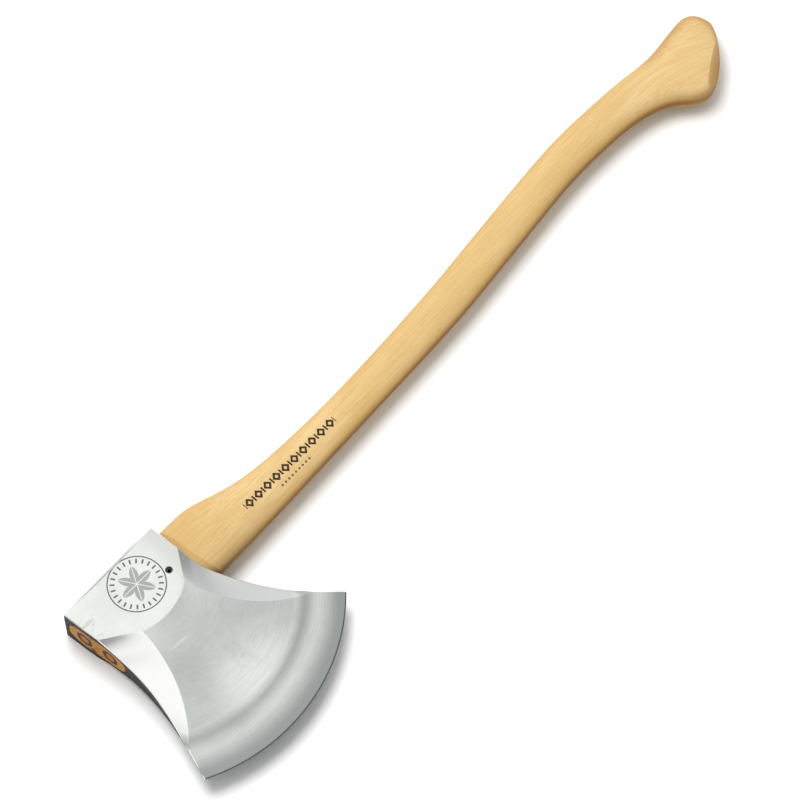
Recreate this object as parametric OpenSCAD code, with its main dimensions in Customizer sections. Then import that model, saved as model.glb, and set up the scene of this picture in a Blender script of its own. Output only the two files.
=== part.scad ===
// Wide-blade axe lying on its side, with a curved haft.
// The head is a forged wedge with a fan-shaped bit, hollowed cheeks and an egg-shaped eye.
// The haft's tenon fills the eye, two oval ring wedges spread it, and a spring pin crosses it.
//
// Design frame: x runs along the haft from the top of the head to the knob, y runs from the
// cutting edge to the poll with 0 on the middle of the eye, z = 0 is the middle plane.
// place() moves it so that the axe lies on z = 0 with x = y = 0 at the middle of its box.

/* [Head] */
// Thickness of the head between its flat cheeks
head_t = 46; // [40:0.5:50]
// Distance of the poll face from the middle of the eye
poll_y = 35.5; // [34:0.5:40]
// Radius of the cutting edge, seen from the side
edge_r = 174; // [172:0.5:176]
// Half thickness left on the ground edge
edge_land = 0.15; // [0.1:0.05:0.5]
// Half thickness at the back of the bevel
bevel_h = 5.2; // [5:0.1:9]
// Width of the bevel behind the edge
bevel_w = 43; // [40:1:55]
// Rise of the soft shoulder at the back of the bevel
shoulder_h = 2; // [0:0.1:3]
// Width of that shoulder
shoulder_w = 16; // [5:1:25]
// Depth of the hollow in each cheek, as a part of the rise from the bevel to the flat
hollow = 0.16; // [0:0.01:0.2]
// Chamfer around the poll
poll_chamfer = 1.5; // [0.5:0.1:3]

/* [Eye and haft] */
// Length of the eye, from the poll side to the bit side
eye_l = 61; // [56:0.5:64]
// Width of the eye across the head
eye_w = 30.5; // [28:0.5:36]
// Squareness of the eye's outline, 2 is an ellipse
eye_power = 3; // [2:0.1:4]
// How much wider the eye is at its poll side
eye_egg = 0.08; // [0:0.01:0.15]
// Length of the haft from the top of the head to the knob
haft_l = 802; // [790:1:820]
// Squareness of the haft's section, 2 is an ellipse
haft_power = 2.4; // [2:0.1:4]
// Squareness of the section's belly side at the knob
knob_power = 4.2; // [2:0.1:6]

/* [Wedges and pin] */
// Outer diameter of a ring wedge, along the eye
ring_d = 16; // [12:0.5:18]
// How much longer it is across the head, between its round ends
ring_stretch = 4; // [1:0.5:6]
// Wall of a ring wedge at its driven end
ring_wall = 3.8; // [1.5:0.1:4.5]
// Wall of a ring wedge at its cutting tip
ring_tip = 0.6; // [0.4:0.1:1]
// Length of a ring wedge
ring_l = 16; // [10:1:24]
// Length of its straight part
ring_straight = 3; // [1:0.5:8]
// Distance of each ring wedge from the middle of the eye
ring_y = 13.6; // [12:0.1:16]
// Diameter of the spring pin
pin_d = 6; // [4:0.5:8]
// Depth of the pin's ends below the cheeks
pin_recess = 2.5; // [1:0.5:5]
// Place of the pin along the haft
pin_x = 88; // [80:1:92]
// Place of the pin across the head
pin_y = -3; // [-8:1:8]
// Bore of the rolled pin
pin_bore = 3.4; // [1.5:0.1:4]
// Width of the slot along the rolled pin
pin_slot = 1; // [0.5:0.1:1.5]

/* [Hidden] */
$fn = 64;

flat_h = head_t / 2;
edge_c = [61, 6];
flat_r = 58;
flat_c = [57, 28.7];
// Height above the eye's middle line at which the flat cheek ends on each end face
flat_top_y = -2;
flat_heel_y = 6;
// Ends of the flat cheek's rounded lower boundary, and the poll points that face them
kink_x = [32.8, 89.6];
poll_x = [32, 80];
// Circles of the two creases between the middle of the cheek and its hollowed corners
crease_top = [-104, -17, 137];
crease_heel = [206, 10, 120];
// Least width of a hollowed corner, which runs on as a narrow chamfer to the edge's tips
corner_rim = 0.8;
// End faces seen from the side, as [y, x]
top_end = [
    [-146, -23], [-108, -9.9], [-86, -3.7], [-63, 1], [-40, 3.2], [-20, 3.1], [-8, 2.5], [0, 1.6],
    [12, 0.4], [24, -0.4], [36, -1.2]
];
heel_end = [
    [-121, 180], [-99, 159], [-79, 143], [-58, 129], [-36, 118], [-18, 111], [0, 108.2], [36, 106]
];
// Half thickness along each end face, as [y, height]
top_rise = [
    [-146, edge_land], [-108, 2.6], [-86, 6.5], [-60, 11], [-36, 14.1], [-22, 16.8], [-15, 18.1],
    [-10, 19.4], [-6, 20.9], [-2, flat_h]
];
heel_rise = [
    [-121, edge_land], [-97, 2.6], [-75, 6.5], [-50, 11], [-26, 14.4], [-12, 17.1], [-6, 18.4],
    [-2, 19.7], [2, 21.2], [6, flat_h]
];
// Haft seen from the side, as [x, y], and its half thickness, as [x, height]
haft_back = [
    [106, 32], [140, 30.8], [156, 26.5], [172, 21], [192, 15.5], [232, 10.7], [312, 9],
    [432, 14.3], [512, 21.4], [592, 28.2], [632, 29.4], [692, 26.4], [736, 22], [772, 25],
    [786, 25.4], [794, 22], [799, 15.6], [haft_l, 8.5]
];
haft_belly = [
    [106, -31], [192, -30], [312, -26.8], [432, -22.8], [512, -15.9], [592, -8.4], [632, -7.8],
    [672, -10.2], [700, -16], [718, -24.5], [732, -36.5], [744, -42], [756, -40.5], [772, -31.8],
    [787, -18], [797, -6], [haft_l, 3.1]
];
haft_side = [
    [106, 18.2], [130, 18], [160, 16.5], [200, 14], [250, 12.8], [320, 12.4], [560, 12.4],
    [640, 12.8], [700, 13.6], [740, 14.4], [776, 14], [790, 12], [798, 7.5], [haft_l, 1.5]
];

// Stretch over which the knob's belly side turns squarer, and its rounding at the end
knob_from = 712;
knob_full = 744;
knob_end = 20;
// Flat facets on the knob's belly corner: both ends of the inner line and a point further out
facet_from = [749, -38, 11.7];
facet_to = [782, -17.2, 12.3];
facet_low = [775, -29.5, 4.2];
facet_block = [120, 120, 30];

box_x = (top_end[0][1] + haft_l) / 2;
box_y = (poll_y + edge_c.y - edge_r) / 2;

// Part of the cheek's rows that lies on the bevel, and the number of rows and columns
bevel_part = 0.31;
bevel_rows = 10;
cheek_rows = 13;
flat_rows = 3;
corner_cols = 4;
middle_cols = 16;
eye_sides = 64;
// Haft sections lie closest together at the knob
section_sides = 28;
stations = concat(
    [for (x = [106 : 12 : 250]) x],
    [for (x = [270 : 20 : 690]) x],
    [for (x = [700 : 6 : 784]) x],
    [788, 791, 794, 796, 798, 799.5, 801, haft_l]
);
// Reach of the cutting shapes beyond the head, along the haft and across it
before_head = -60;
past_head = 200;
tenon_end = 135;
poll_side = 40;
bit_side = -60;

// ---- curves ----

function mix(a, b, t) = a + (b - a) * t;

function smooth(t) = let (c = max(0, min(1, t))) c * c * (3 - 2 * c);

function slope(p, i) =
    let (a = max(i - 1, 0), b = min(i + 1, len(p) - 1))
    (p[b].y - p[a].y) / (p[b].x - p[a].x);

// Height at x of the smooth curve through the points p
function curve(p, x, i = 0) =
    x <= p[0].x ? p[0].y
    : i >= len(p) - 1 ? p[len(p) - 1].y
    : x > p[i + 1].x ? curve(p, x, i + 1)
    : let (w = p[i + 1].x - p[i].x, t = (x - p[i].x) / w)
      p[i].y * (1 - t) * (1 - t) * (1 + 2 * t) + p[i + 1].y * t * t * (3 - 2 * t)
      + w * t * (1 - t) * (slope(p, i) * (1 - t) - slope(p, i + 1) * t);

function half_chord(r, d) = sqrt(max(0, r * r - d * d));

// ---- head ----

// Half thickness of the cheek, from the bevel to the flat; c is 0 and 1 on the creases
function cheek_h(p, c) =
    let (d = edge_r - norm(p - edge_c), out = max(0, norm(p - flat_c) - flat_r))
    d <= bevel_w ? bevel_rise(d)
    : let (w = (d - bevel_w) / (d - bevel_w + out), dish = hollow * 16 * c * (1 - c))
      mix(bevel_h, flat_h, w - dish * w * (1 - w));

// The bevel is a little convex, with a soft shoulder behind it
function bevel_rise(d) =
    let (t = d / bevel_w)
    edge_land + (bevel_h - shoulder_h - edge_land) * t * (2 - t)
    + shoulder_h * smooth((d - bevel_w + shoulder_w) / shoulder_w);

// The four rails that the rows run between, from the edge (v = 0) to the flat (v = 1)
toe = [top_end[0].y, edge_c.y - half_chord(edge_r, top_end[0].y - edge_c.x)];
heel = [heel_end[0].y, edge_c.y - half_chord(edge_r, heel_end[0].y - edge_c.x)];

function top_rail(v) = let (y = mix(toe.y, flat_top_y, v)) [curve(top_end, y), y];

function heel_rail(v) = let (y = mix(heel.y, flat_heel_y, v)) [curve(heel_end, y), y];

function top_crease_x(y) =
    max(crease_top.x + half_chord(crease_top.z, y - crease_top.y), curve(top_end, y) + corner_rim);

function heel_crease_x(y) =
    min(crease_heel.x - half_chord(crease_heel.z, y - crease_heel.y), curve(heel_end, y) - corner_rim);

function edge_point(x) = [x, edge_c.y - half_chord(edge_r, x - edge_c.x)];

function flat_point(x) = [x, flat_c.y - half_chord(flat_r, x - flat_c.x)];

top_tip = edge_point(toe.x + corner_rim);
heel_tip = edge_point(heel.x - corner_rim);
top_kink = flat_point(kink_x[0]);
heel_kink = flat_point(kink_x[1]);

function top_crease(v) =
    v == 0 ? top_tip : v == 1 ? top_kink : let (y = mix(top_tip.y, top_kink.y, v)) [top_crease_x(y), y];

function heel_crease(v) =
    v == 0 ? heel_tip
    : v == 1 ? heel_kink
    : let (y = mix(heel_tip.y, heel_kink.y, v)) [heel_crease_x(y), y];

// Point of the middle of the cheek, between the creases, the edge and the flat
function middle_point(c, v) =
    mix(top_crease(v), heel_crease(v), c)
    + mix(edge_point(mix(top_tip.x, heel_tip.x, c)), flat_point(mix(top_kink.x, heel_kink.x, c)), v)
    - mix(mix(top_tip, heel_tip, c), mix(top_kink, heel_kink, c), v);

function raised(p, h) = [p.x, p.y, h];

function row_below_flat(v) = concat(
    [for (i = [0 : corner_cols - 1])
        let (a = top_rail(v), b = top_crease(v), t = i / corner_cols)
        raised(mix(a, b, t), mix(curve(top_rise, a.y), cheek_h(b, 0), t))],
    [for (i = [0 : middle_cols])
        let (c = i / middle_cols, p = middle_point(c, v))
        raised(p, v == 0 ? edge_land : v == 1 ? flat_h : cheek_h(p, c))],
    [for (i = [1 : corner_cols])
        let (a = heel_crease(v), b = heel_rail(v), t = i / corner_cols)
        raised(mix(a, b, t), mix(cheek_h(a, 1), curve(heel_rise, b.y), t))]
);

// A row on the flat cheek; w is 0 on its boundary and 1 on the poll
function row_on_flat(w, h) =
    let (
        ya = mix(flat_top_y, poll_y, w),
        yd = mix(flat_heel_y, poll_y, w),
        a = [curve(top_end, ya), ya],
        b = mix(top_kink, [poll_x[0], poll_y], w),
        c = mix(heel_kink, [poll_x[1], poll_y], w),
        d = [curve(heel_end, yd), yd]
    )
    concat(
        [for (i = [0 : corner_cols - 1]) raised(mix(a, b, i / corner_cols), h)],
        [for (i = [0 : middle_cols])
            let (t = i / middle_cols, f = flat_point(mix(top_kink.x, heel_kink.x, t)))
            raised(mix(f, [mix(poll_x[0], poll_x[1], t), poll_y], w), h)],
        [for (i = [1 : corner_cols]) raised(mix(c, d, i / corner_cols), h)]
    );

rim_w = 1 - poll_chamfer / (poll_y - flat_top_y);
head_rows = concat(
    [for (i = [0 : bevel_rows]) row_below_flat(bevel_part * i / bevel_rows)],
    [for (i = [1 : cheek_rows]) row_below_flat(mix(bevel_part, 1, i / cheek_rows))],
    [for (i = [1 : flat_rows]) row_on_flat(rim_w * i / flat_rows, flat_h)],
    [row_on_flat(1, flat_h - poll_chamfer)]
);

function upside_down(p) = [p.x, p.y, -p.z];

// Closed solid between a sheet of points, given in rows, and its mirror image below
module two_sided(rows) {
    n = len(rows);
    m = len(rows[0]);
    upper = [for (row = rows) for (p = row) p];
    points = concat(upper, [for (p = upper) upside_down(p)]);
    low = n * m;
    rim = concat(
        [for (j = [0 : m - 1]) j],
        [for (i = [1 : n - 1]) i * m + m - 1],
        [for (j = [m - 2 : -1 : 0]) (n - 1) * m + j],
        [for (i = [n - 2 : -1 : 1]) i * m]
    );
    faces = concat(
        [for (i = [0 : n - 2]) for (j = [0 : m - 2])
            let (a = i * m + j) each [[a + m, a + 1, a], [a + m, a + m + 1, a + 1]]],
        [for (i = [0 : n - 2]) for (j = [0 : m - 2])
            let (a = low + i * m + j) each [[a, a + 1, a + m], [a + 1, a + m + 1, a + m]]],
        [for (k = [0 : len(rim) - 1])
            let (a = rim[k], b = rim[(k + 1) % len(rim)])
            each [[a, b, b + low], [a, b + low, a + low]]]
    );
    polyhedron(points = points, faces = faces, convexity = 8);
}

// Outline of the eye, with x across the head and y towards the poll
function eye_point(a) =
    let (s = sin(a), c = cos(a), y = sign(c) * pow(abs(c), 2 / eye_power))
    [eye_w / 2 * sign(s) * pow(abs(s), 2 / eye_power) * (1 + eye_egg * y), eye_l / 2 * y];

// Prism of the eye's outline along the haft
module eye_prism(x0, x1) {
    translate([x0, 0, 0])
        rotate([90, 0, 90])
            linear_extrude(x1 - x0)
                polygon([for (i = [1 : eye_sides]) let (p = eye_point(i * 360 / eye_sides)) [p.y, p.x]]);
}

module pin_hole() {
    translate([pin_x, pin_y, -head_t])
        cylinder(h = 2 * head_t, d = pin_d);
}

module axe_head() {
    color("lightsteelblue")
        place()
            difference() {
                two_sided(head_rows);
                eye_prism(before_head, past_head);
                pin_hole();
            }
}

// ---- haft ----

// Everything on the knob's side of the head's top face
module below_top_face() {
    linear_extrude(2 * head_t, center = true)
        polygon(concat(
            [for (y = [bit_side : 2 : poll_side]) [curve(top_end, y), y]],
            [[past_head, poll_side], [past_head, bit_side]]
        ));
}

// Everything that the head covers when it is seen from the side
module head_shadow() {
    linear_extrude(2 * head_t, center = true)
        polygon(concat(
            [for (y = [bit_side : 2 : poll_side]) [curve(heel_end, y), y]],
            [[before_head, poll_side], [before_head, bit_side]]
        ));
}

function belly_power(x) =
    let (into = smooth((x - knob_from) / (knob_full - knob_from)), out = smooth((haft_l - x) / knob_end))
    mix(haft_power, knob_power, into * out);

function section(x) =
    let (
        hi = curve(haft_back, x),
        lo = curve(haft_belly, x),
        z = curve(haft_side, x),
        belly = belly_power(x)
    )
    [for (i = [0 : section_sides - 1])
        let (a = 360 * i / section_sides, s = sin(a), c = cos(a), power = c < 0 ? belly : haft_power)
        [
            x,
            (hi + lo) / 2 + (hi - lo) / 2 * sign(c) * pow(abs(c), 2 / power),
            z * sign(s) * pow(abs(s), 2 / power)
        ]];

module swept(sections) {
    n = len(sections);
    m = len(sections[0]);
    polyhedron(
        points = [for (s = sections) for (p = s) p],
        faces = concat(
            [[for (j = [0 : m - 1]) j]],
            [for (i = [0 : n - 2]) for (j = [0 : m - 1])
                let (a = i * m + j, b = i * m + (j + 1) % m)
                each [[a, b + m, b], [a, a + m, b + m]]],
            [[for (j = [m - 1 : -1 : 0]) (n - 1) * m + j]]
        ),
        convexity = 6
    );
}

function unit(v) = v / norm(v);

// Block that shaves the facet off the upper side of the knob
module facet_cutter() {
    along = unit(facet_to - facet_from);
    out = unit(cross(facet_low - facet_from, along));
    across = cross(out, along);
    multmatrix([
        [along.x, across.x, out.x, facet_from.x],
        [along.y, across.y, out.y, facet_from.y],
        [along.z, across.z, out.z, facet_from.z],
        [0, 0, 0, 1]
    ])
        translate([-facet_block.x / 2, -facet_block.y / 2, 0])
            cube(facet_block);
}

module haft() {
    color("burlywood")
        place()
            difference() {
                union() {
                    difference() {
                        swept([for (x = stations) section(x)]);
                        head_shadow();
                        facet_cutter();
                        mirror([0, 0, 1])
                            facet_cutter();
                    }
                    intersection() {
                        eye_prism(before_head, tenon_end);
                        below_top_face();
                    }
                }
                tapered_ring(ring_y);
                tapered_ring(-ring_y);
                pin_hole();
            }
}

// ---- wedges and pin ----

// Section of a ring wedge's wall, running on past the end face
module ring_section() {
    r = ring_d / 2;
    polygon([
        [r - ring_wall, -ring_l],
        [r, -ring_l],
        [r, ring_straight],
        [r - ring_wall + ring_tip, ring_l],
        [r - ring_wall, ring_l]
    ]);
}

// Tapered oval ring in the tenon: two half rounds joined by two straight sides
module tapered_ring(y) {
    translate([curve(top_end, y), y, 0])
        rotate([0, 90, 0])
            for (turn = [0, 180])
                rotate([0, 0, turn]) {
                    translate([ring_stretch / 2, 0, 0])
                        rotate([0, 0, -90])
                            rotate_extrude(angle = 180)
                                ring_section();
                    rotate([90, 0, 90])
                        linear_extrude(ring_stretch, center = true)
                            ring_section();
                }
}

// Ring wedge flush with the head
module ring_wedge(y) {
    intersection() {
        tapered_ring(y);
        below_top_face();
    }
}

module ring_wedge_poll() {
    color("slategray")
        place()
            ring_wedge(ring_y);
}

module ring_wedge_bit() {
    color("slategray")
        place()
            ring_wedge(-ring_y);
}

// Rolled spring pin with an open slot
module spring_pin() {
    l = head_t - 2 * pin_recess;
    color("dimgray")
        place()
            translate([pin_x, pin_y, -l / 2])
                difference() {
                    cylinder(h = l, d = pin_d);
                    translate([0, 0, -1])
                        cylinder(h = l + 2, d = pin_bore);
                    translate([0, -pin_slot / 2, -1])
                        cube([pin_d, pin_slot, l + 2]);
                }
}

module place() {
    translate([-box_x, -box_y, flat_h])
        children();
}

axe_head();
haft();
ring_wedge_poll();
ring_wedge_bit();
spring_pin();
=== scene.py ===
"""Wide-blade axe lying on its side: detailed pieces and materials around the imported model."""

import bisect
import math

import bpy
from mathutils import Matrix, Vector, noise


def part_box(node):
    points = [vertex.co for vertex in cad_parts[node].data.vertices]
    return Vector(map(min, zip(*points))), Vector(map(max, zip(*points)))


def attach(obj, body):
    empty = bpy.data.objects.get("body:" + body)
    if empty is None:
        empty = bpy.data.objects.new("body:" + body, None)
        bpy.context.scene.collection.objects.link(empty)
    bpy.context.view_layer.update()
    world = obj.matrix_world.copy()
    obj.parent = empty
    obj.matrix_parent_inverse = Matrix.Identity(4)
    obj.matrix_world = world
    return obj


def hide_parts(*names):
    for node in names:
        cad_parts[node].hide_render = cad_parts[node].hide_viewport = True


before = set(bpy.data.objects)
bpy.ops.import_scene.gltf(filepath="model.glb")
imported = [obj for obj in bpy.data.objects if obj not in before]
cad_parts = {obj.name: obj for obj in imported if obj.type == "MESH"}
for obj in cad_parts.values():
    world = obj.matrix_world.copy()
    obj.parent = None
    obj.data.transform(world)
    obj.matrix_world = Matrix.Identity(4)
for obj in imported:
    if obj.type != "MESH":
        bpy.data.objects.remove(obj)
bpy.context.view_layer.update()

# ---- design frame ----
# Shapes are worked out in millimetres in the part's design frame: x runs along the haft from the
# top of the head, y from the cutting edge to the poll with 0 on the middle of the eye, and z = 0
# is the middle plane. placed() takes them to the frame's metres.

MM = 0.001

HEAD_T = 46.0
POLL_Y = 35.5
EDGE_R = 174.0
EDGE_LAND = 0.15
BEVEL_H = 5.2
BEVEL_W = 43.0
SHOULDER_H = 2.0
SHOULDER_W = 16.0
HOLLOW = 0.16
POLL_CHAMFER = 1.5

EYE_L = 61.0
EYE_W = 30.5
EYE_POWER = 3.0
EYE_EGG = 0.08
HAFT_L = 802.0
HAFT_POWER = 2.4

RING_D = 16.0
RING_STRETCH = 4.0
RING_WALL = 3.8
RING_TIP = 0.6
RING_L = 16.0
RING_STRAIGHT = 3.0
RING_Y = 13.6
PIN_D = 6.0
PIN_BORE = 3.4
PIN_SLOT = 1.0
PIN_RECESS = 2.5
PIN_X = 88.0
PIN_Y = -3.0

FLAT_H = HEAD_T / 2
EDGE_C = Vector((61.0, 6.0))
FLAT_R = 58.0
FLAT_C = Vector((57.0, 28.7))
FLAT_TOP_Y = -2.0
FLAT_HEEL_Y = 6.0
KINK_X = (32.8, 89.6)
POLL_X = (32.0, 80.0)
CREASE_TOP = (-104.0, -17.0, 137.0)
CREASE_HEEL = (206.0, 10.0, 120.0)
CORNER_RIM = 0.8

# End faces seen from the side, as (y, x), and the half thickness along them, as (y, height)
TOP_END = [
    (-146, -23), (-108, -9.9), (-86, -3.7), (-63, 1), (-40, 3.2), (-20, 3.1), (-8, 2.5), (0, 1.6),
    (12, 0.4), (24, -0.4), (36, -1.2),
]
HEEL_END = [
    (-121, 180), (-99, 159), (-79, 143), (-58, 129), (-36, 118), (-18, 111), (0, 108.2),
    (36, 106),
]
TOP_RISE = [
    (-146, EDGE_LAND), (-108, 2.6), (-86, 6.5), (-60, 11), (-36, 14.1), (-22, 16.8), (-15, 18.1),
    (-10, 19.4), (-6, 20.9), (-2, FLAT_H),
]
HEEL_RISE = [
    (-121, EDGE_LAND), (-97, 2.6), (-75, 6.5), (-50, 11), (-26, 14.4), (-12, 17.1), (-6, 18.4),
    (-2, 19.7), (2, 21.2), (6, FLAT_H),
]

# Haft seen from the side, as (x, y), and its half thickness, as (x, height)
HAFT_BACK = [
    (106, 32), (140, 30.8), (156, 26.5), (172, 21), (192, 15.5), (232, 10.7), (312, 9),
    (432, 14.3), (512, 21.4), (592, 28.2), (632, 29.4), (692, 26.4), (736, 22), (772, 25),
    (786, 25.4), (794, 22), (799, 15.6), (HAFT_L, 8.5),
]
HAFT_BELLY = [
    (106, -31), (192, -30), (312, -26.8), (432, -22.8), (512, -15.9), (592, -8.4), (632, -7.8),
    (672, -10.2), (700, -16), (718, -24.5), (732, -36.5), (744, -42), (756, -40.5), (772, -31.8),
    (787, -18), (797, -6), (HAFT_L, 3.1),
]
HAFT_SIDE = [
    (106, 18.2), (130, 18), (160, 16.5), (200, 14), (250, 12.8), (320, 12.4), (560, 12.4),
    (640, 12.8), (700, 13.6), (740, 14.4), (776, 14), (790, 12), (798, 7.5), (HAFT_L, 1.5),
]

head_low, head_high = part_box("axe_head")
ORIGIN = Vector((
    head_low.x - TOP_END[0][1] * MM,
    head_high.y - POLL_Y * MM,
    (head_low.z + head_high.z) / 2,
))


def placed(point):
    """A point of the design frame, in the frame's metres."""
    return Vector(point) * MM + ORIGIN


# ---- camera ----

CAMERA_LENS = 200
CAMERA_SENSOR = 36
CAMERA_REACH = 30
CAMERA_DISTANCE = 3.83
CAMERA_AZIMUTH = math.radians(-48)
CAMERA_ELEVATION = math.radians(66)
AIM = placed((342, -36, 0))

BACK = Vector((
    math.sin(CAMERA_AZIMUTH) * math.cos(CAMERA_ELEVATION),
    -math.cos(CAMERA_AZIMUTH) * math.cos(CAMERA_ELEVATION),
    math.sin(CAMERA_ELEVATION),
))
# Level directions to the right of the picture and towards its top
RIGHT = Vector((math.cos(CAMERA_AZIMUTH), math.sin(CAMERA_AZIMUTH), 0))
AHEAD = Vector((-math.sin(CAMERA_AZIMUTH), math.cos(CAMERA_AZIMUTH), 0))


def make_camera():
    data = bpy.data.cameras.new("camera")
    data.lens = CAMERA_LENS
    data.sensor_width = CAMERA_SENSOR
    data.clip_end = CAMERA_REACH
    camera = bpy.data.objects.new("camera", data)
    turn = Matrix((RIGHT, BACK.cross(RIGHT), BACK)).transposed()
    camera.matrix_world = Matrix.Translation(AIM + CAMERA_DISTANCE * BACK) @ turn.to_4x4()
    bpy.context.scene.collection.objects.link(camera)
    bpy.context.scene.camera = camera


# ---- curves ----

def mix(a, b, t):
    return a + (b - a) * t


def smooth(t):
    t = min(1.0, max(0.0, t))
    return t * t * (3 - 2 * t)


def signed_power(value, power):
    return math.copysign(abs(value) ** power, value)


def slope(points, i):
    a, b = points[max(i - 1, 0)], points[min(i + 1, len(points) - 1)]
    return (b[1] - a[1]) / (b[0] - a[0])


def curve(points, x):
    """Height at x of the smooth curve through the points."""
    if x <= points[0][0]:
        return points[0][1]
    if x >= points[-1][0]:
        return points[-1][1]
    i = bisect.bisect_right([p[0] for p in points], x) - 1
    (x0, y0), (x1, y1) = points[i], points[i + 1]
    w = x1 - x0
    t = (x - x0) / w
    ends = y0 * (1 - t) ** 2 * (1 + 2 * t) + y1 * t * t * (3 - 2 * t)
    return ends + w * t * (1 - t) * (slope(points, i) * (1 - t) - slope(points, i + 1) * t)


def half_chord(radius, distance):
    return math.sqrt(max(0.0, radius * radius - distance * distance))


# ---- building pieces ----

def make_piece(name, points, faces, slots, materials, sharp=30.0):
    """A mesh object from points in the design frame; slots gives each face's material."""
    mesh = bpy.data.meshes.new(name)
    mesh.from_pydata([placed(p) for p in points], [], faces)
    for material in materials:
        mesh.materials.append(material)
    mesh.polygons.foreach_set("material_index", slots)
    piece = bpy.data.objects.new(name, mesh)
    bpy.context.scene.collection.objects.link(piece)
    shade(piece, sharp)
    return piece


def shade(piece, sharp):
    """Smooth shading, apart from edges that turn by more than this many degrees."""
    piece.data.shade_smooth()
    piece.data.set_sharp_from_angle(angle=math.radians(sharp))


def cut(piece, tools, sharp):
    """Takes the tools away from the piece, and deletes them."""
    for tool in tools:
        step = piece.modifiers.new("cut", "BOOLEAN")
        step.operation = "DIFFERENCE"
        step.solver = "EXACT"
        step.object = tool
    bpy.context.view_layer.update()
    whole = piece.evaluated_get(bpy.context.evaluated_depsgraph_get())
    mesh = bpy.data.meshes.new_from_object(whole)
    piece.modifiers.clear()
    piece.data = mesh
    for tool in tools:
        bpy.data.objects.remove(tool)
    shade(piece, sharp)


def loft(rings):
    """Faces between closed rings of points, and over both ends; and the ring of each face."""
    n = len(rings[0])
    faces, owner = [], []
    for i in range(len(rings) - 1):
        for j in range(n):
            k = (j + 1) % n
            faces.append((i * n + j, i * n + k, (i + 1) * n + k, (i + 1) * n + j))
            owner.append(i)
    faces.append(tuple(range(n - 1, -1, -1)))
    faces.append(tuple((len(rings) - 1) * n + j for j in range(n)))
    return faces, owner + [-1, len(rings)]


def turned(profile, sides):
    """Rings of a closed profile of (depth, radius), turned about the x axis."""
    return [
        [(depth, radius * math.cos(a), radius * math.sin(a)) for depth, radius in profile]
        for a in (2 * math.pi * (k + 0.5) / sides for k in range(sides))
    ]


# ---- head ----

BEVEL_PART = 0.31
BEVEL_ROWS = 34
CHEEK_ROWS = 66
FLAT_ROWS = 10
CORNER_COLS = 12
MIDDLE_COLS = 84
WALL_LEVELS = 12
# Leg of the broken edges, and its largest part of the half thickness and of the first column
RIM = 0.8
RIM_OF_HEIGHT = 0.5
RIM_OF_STEP = 0.8
POLL_CORNER_R = 1.6
CHAMFER_ROWS = 3
# Low dents of the forged end faces, which fade out where the head is thinner than this
DENT_DEPTH = 0.22
DENT_SCALE_Y = 0.11
DENT_SCALE_Z = 0.2
DENT_SLICE = 3.0
DENT_FADE = 6

# Material slots of the head
FLAT, HORN, BLADE, RIM_SLOT, FORGED = range(5)


def bevel_rise(d):
    body = (BEVEL_H - SHOULDER_H - EDGE_LAND) * (d / BEVEL_W) * (2 - d / BEVEL_W)
    return EDGE_LAND + body + SHOULDER_H * smooth((d - BEVEL_W + SHOULDER_W) / SHOULDER_W)


def cheek_h(p, c):
    """Half thickness of the cheek at p; c is 0 and 1 on the creases."""
    d = EDGE_R - (p - EDGE_C).length
    if d <= BEVEL_W:
        return bevel_rise(d)
    out = max(0.0, (p - FLAT_C).length - FLAT_R)
    w = (d - BEVEL_W) / (d - BEVEL_W + out)
    dish = HOLLOW * 16 * c * (1 - c)
    return mix(BEVEL_H, FLAT_H, w - dish * w * (1 - w))


def edge_point(x):
    return Vector((x, EDGE_C.y - half_chord(EDGE_R, x - EDGE_C.x)))


def flat_point(x):
    return Vector((x, FLAT_C.y - half_chord(FLAT_R, x - FLAT_C.x)))


TOE = edge_point(TOP_END[0][1])
HEEL = edge_point(HEEL_END[0][1])
TOP_TIP = edge_point(TOE.x + CORNER_RIM)
HEEL_TIP = edge_point(HEEL.x - CORNER_RIM)
TOP_KINK = flat_point(KINK_X[0])
HEEL_KINK = flat_point(KINK_X[1])


def crease(v, tip, kink, crease_x):
    if v <= 0:
        return tip.copy()
    if v >= 1:
        return kink.copy()
    y = mix(tip.y, kink.y, v)
    return Vector((crease_x(y), y))


def top_crease_x(y):
    x, cy, r = CREASE_TOP
    return max(x + half_chord(r, y - cy), curve(TOP_END, y) + CORNER_RIM)


def heel_crease_x(y):
    x, cy, r = CREASE_HEEL
    return min(x - half_chord(r, y - cy), curve(HEEL_END, y) - CORNER_RIM)


def rail(points, start, end, v):
    y = mix(start, end, v)
    return Vector((curve(points, y), y))


def raised(p, h):
    return Vector((p.x, p.y, h))


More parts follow.
